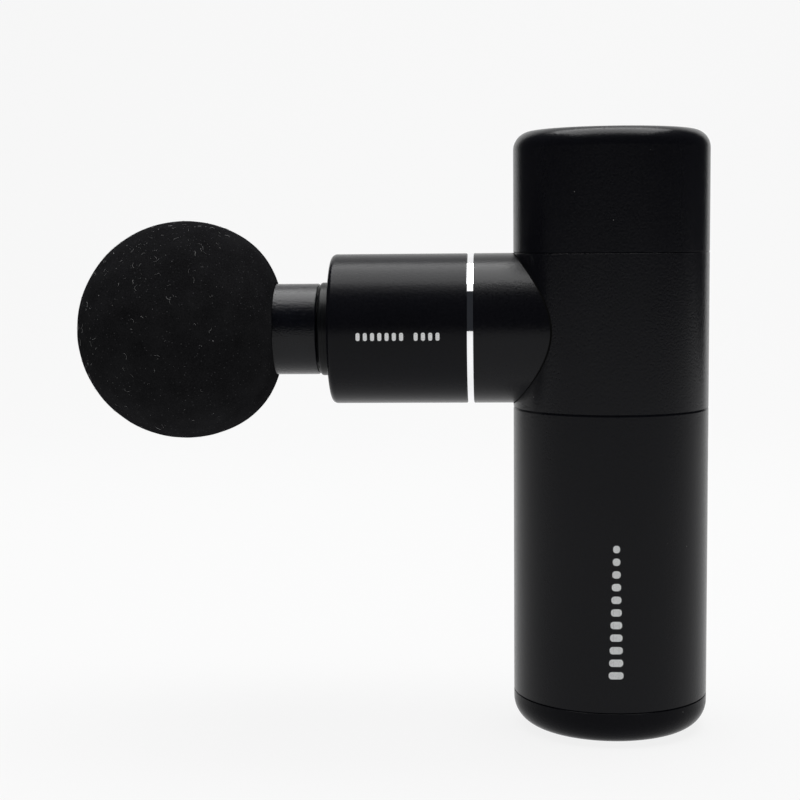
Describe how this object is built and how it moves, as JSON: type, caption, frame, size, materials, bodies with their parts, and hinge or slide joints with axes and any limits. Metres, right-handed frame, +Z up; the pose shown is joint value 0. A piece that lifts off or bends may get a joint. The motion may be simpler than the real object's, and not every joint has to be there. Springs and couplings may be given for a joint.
{
  "type": "massage gun",
  "caption": "Compact percussion massager: an upright cylindrical handle with a side barrel, a crank-driven plunger and a pull-off ball head.",
  "frame": {"origin": "centre of the foot pad's underside, on the handle's axis", "axes": "+Z up the handle; -X along the barrel towards the ball head; +X is the side with the power button, lights and charging port"},
  "size_m": [0.1472, 0.051, 0.1385],
  "materials": {
    "pad_rubber": "matte",
    "shell_black": "matte",
    "screw_steel": "satin",
    "trim_chrome": "polished",
    "seal_rubber": "matte",
    "raw_aluminium": "satin",
    "acetal_white": "satin",
    "silicone_grey": "matte",
    "lamination": "satin",
    "copper": "gloss",
    "bearing_steel": "polished",
    "bell_steel": "satin",
    "magnet_nickel": "polished",
    "steel": "satin",
    "anodised_black": "satin",
    "stem_plastic": "matte",
    "ball_foam": "matte",
    "cell_sleeve": "gloss",
    "carrier_grey": "matte",
    "nickel_strip": "satin",
    "lead_insulation": "satin",
    "board_green": "satin",
    "port_steel": "satin",
    "chip_black": "satin",
    "switch_body": "satin",
    "button_black": "satin",
    "led_lens": "gloss",
    "light_guide": "gloss",
    "capacitor_sleeve": "gloss",
    "wire_insulation": "satin"
  },
  "bodies": {
    "housing": {"base_pad": "pad_rubber", "base_cap": "shell_black", "base_screws": "screw_steel", "lower_handle_shell": "shell_black", "tee_housing": "shell_black", "top_cap": "shell_black", "trim_ring": "trim_chrome", "nose_shell": "shell_black", "dust_seal": "seal_rubber", "cylinder_tube": "raw_aluminium", "guide_bush": "acetal_white", "damping_rings": "silicone_grey", "motor_bracket": "raw_aluminium", "cylinder_screws": "screw_steel", "bracket_screws": "screw_steel", "motor_base": "raw_aluminium", "motor_screws": "screw_steel", "stator_core": "lamination", "stator_windings": "copper", "motor_outer_races": "bearing_steel", "motor_bearing_balls": "bearing_steel", "battery_cells": "cell_sleeve", "battery_carrier": "carrier_grey", "cell_tabs": "nickel_strip", "battery_leads": "lead_insulation", "control_board": "board_green", "board_screws": "screw_steel", "usb_c_receptacle": "port_steel", "usb_c_tongue": "chip_black", "tact_switch": "switch_body", "status_leds": "led_lens", "light_pipes": "light_guide", "power_mosfets": "chip_black", "board_capacitors": "capacitor_sleeve", "controller_chip": "chip_black", "motor_wires": "wire_insulation"},
    "rotor": {"rotor_bell": "bell_steel", "rotor_magnets": "magnet_nickel", "motor_shaft": "steel", "motor_inner_races": "bearing_steel", "crank_disc": "steel", "crank_pin": "screw_steel", "big_end_inner_race": "bearing_steel"},
    "rod": {"connecting_rod": "raw_aluminium", "big_end_outer_race": "bearing_steel", "big_end_balls": "bearing_steel"},
    "plunger": {"plunger": "anodised_black", "wrist_pin": "steel"},
    "head": {"head_stem": "stem_plastic", "head_o_rings": "seal_rubber", "ball_head": "ball_foam"},
    "button": {"power_button": "button_black"}
  },
  "joints": [
    {"name": "motor_spin", "type": "hinge", "parent": "housing", "child": "rotor", "pos_m": [0, 0, 0.0934], "axis": [0, 0, 1], "range_deg": [0, 180]},
    {"name": "conrod_pivot", "type": "hinge", "parent": "rotor", "child": "rod", "pos_m": [0.0035, 0, 0.0934], "axis": [0, 0, 1], "range_deg": [-180, 0]},
    {"name": "piston_slide", "type": "slide", "parent": "housing", "child": "plunger", "axis": [-1, 0, 0], "range_m": [0, 0.007]},
    {"name": "head_pull", "type": "slide", "parent": "plunger", "child": "head", "axis": [-1, 0, 0], "range_m": [0, 0.017]},
    {"name": "button_press", "type": "slide", "parent": "housing", "child": "button", "axis": [-1, 0, 0], "range_m": [0, 0.0006], "stiffness_N_per_m": 1500}
  ],
  "couplings": [
    {"joint": "conrod_pivot", "follows": "motor_spin", "ratio": -1},
    {"joint": "piston_slide", "follows": "motor_spin", "m_per_rad": 0.002228}
  ]
}
